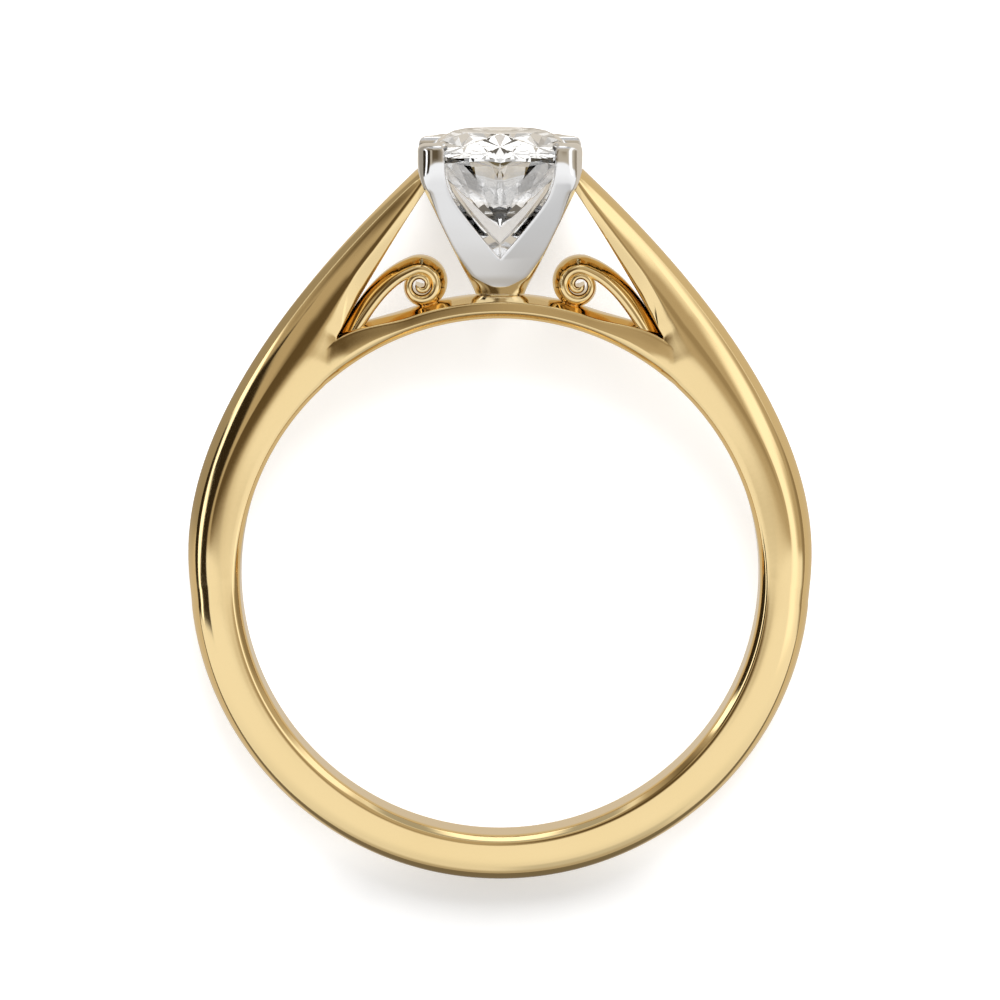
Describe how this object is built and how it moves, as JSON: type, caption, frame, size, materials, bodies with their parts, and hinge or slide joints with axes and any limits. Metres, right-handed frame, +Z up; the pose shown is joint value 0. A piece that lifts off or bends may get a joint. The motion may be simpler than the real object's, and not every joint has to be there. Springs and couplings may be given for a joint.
{
  "type": "cathedral setting ring",
  "caption": "Finger ring with rising cathedral shoulders, a bridge with scrolls and a four-prong head that holds an oval stone.",
  "frame": {"origin": "centre of the finger hole", "axes": "+Y across the ring towards the stone, +Z up from the surface that the ring lies on, +X across the ring. The finger's axis is 6.3 degrees off +Z, because the ring leans on its stone"},
  "size_m": [0.0198, 0.024, 0.007],
  "materials": {
    "yellow_gold": "mirror polish",
    "white_gold": "mirror polish",
    "stone": "faceted and polished"
  },
  "bodies": {
    "root": {"shank": "yellow_gold", "head": "white_gold", "stone": "stone"}
  },
  "joints": []
}
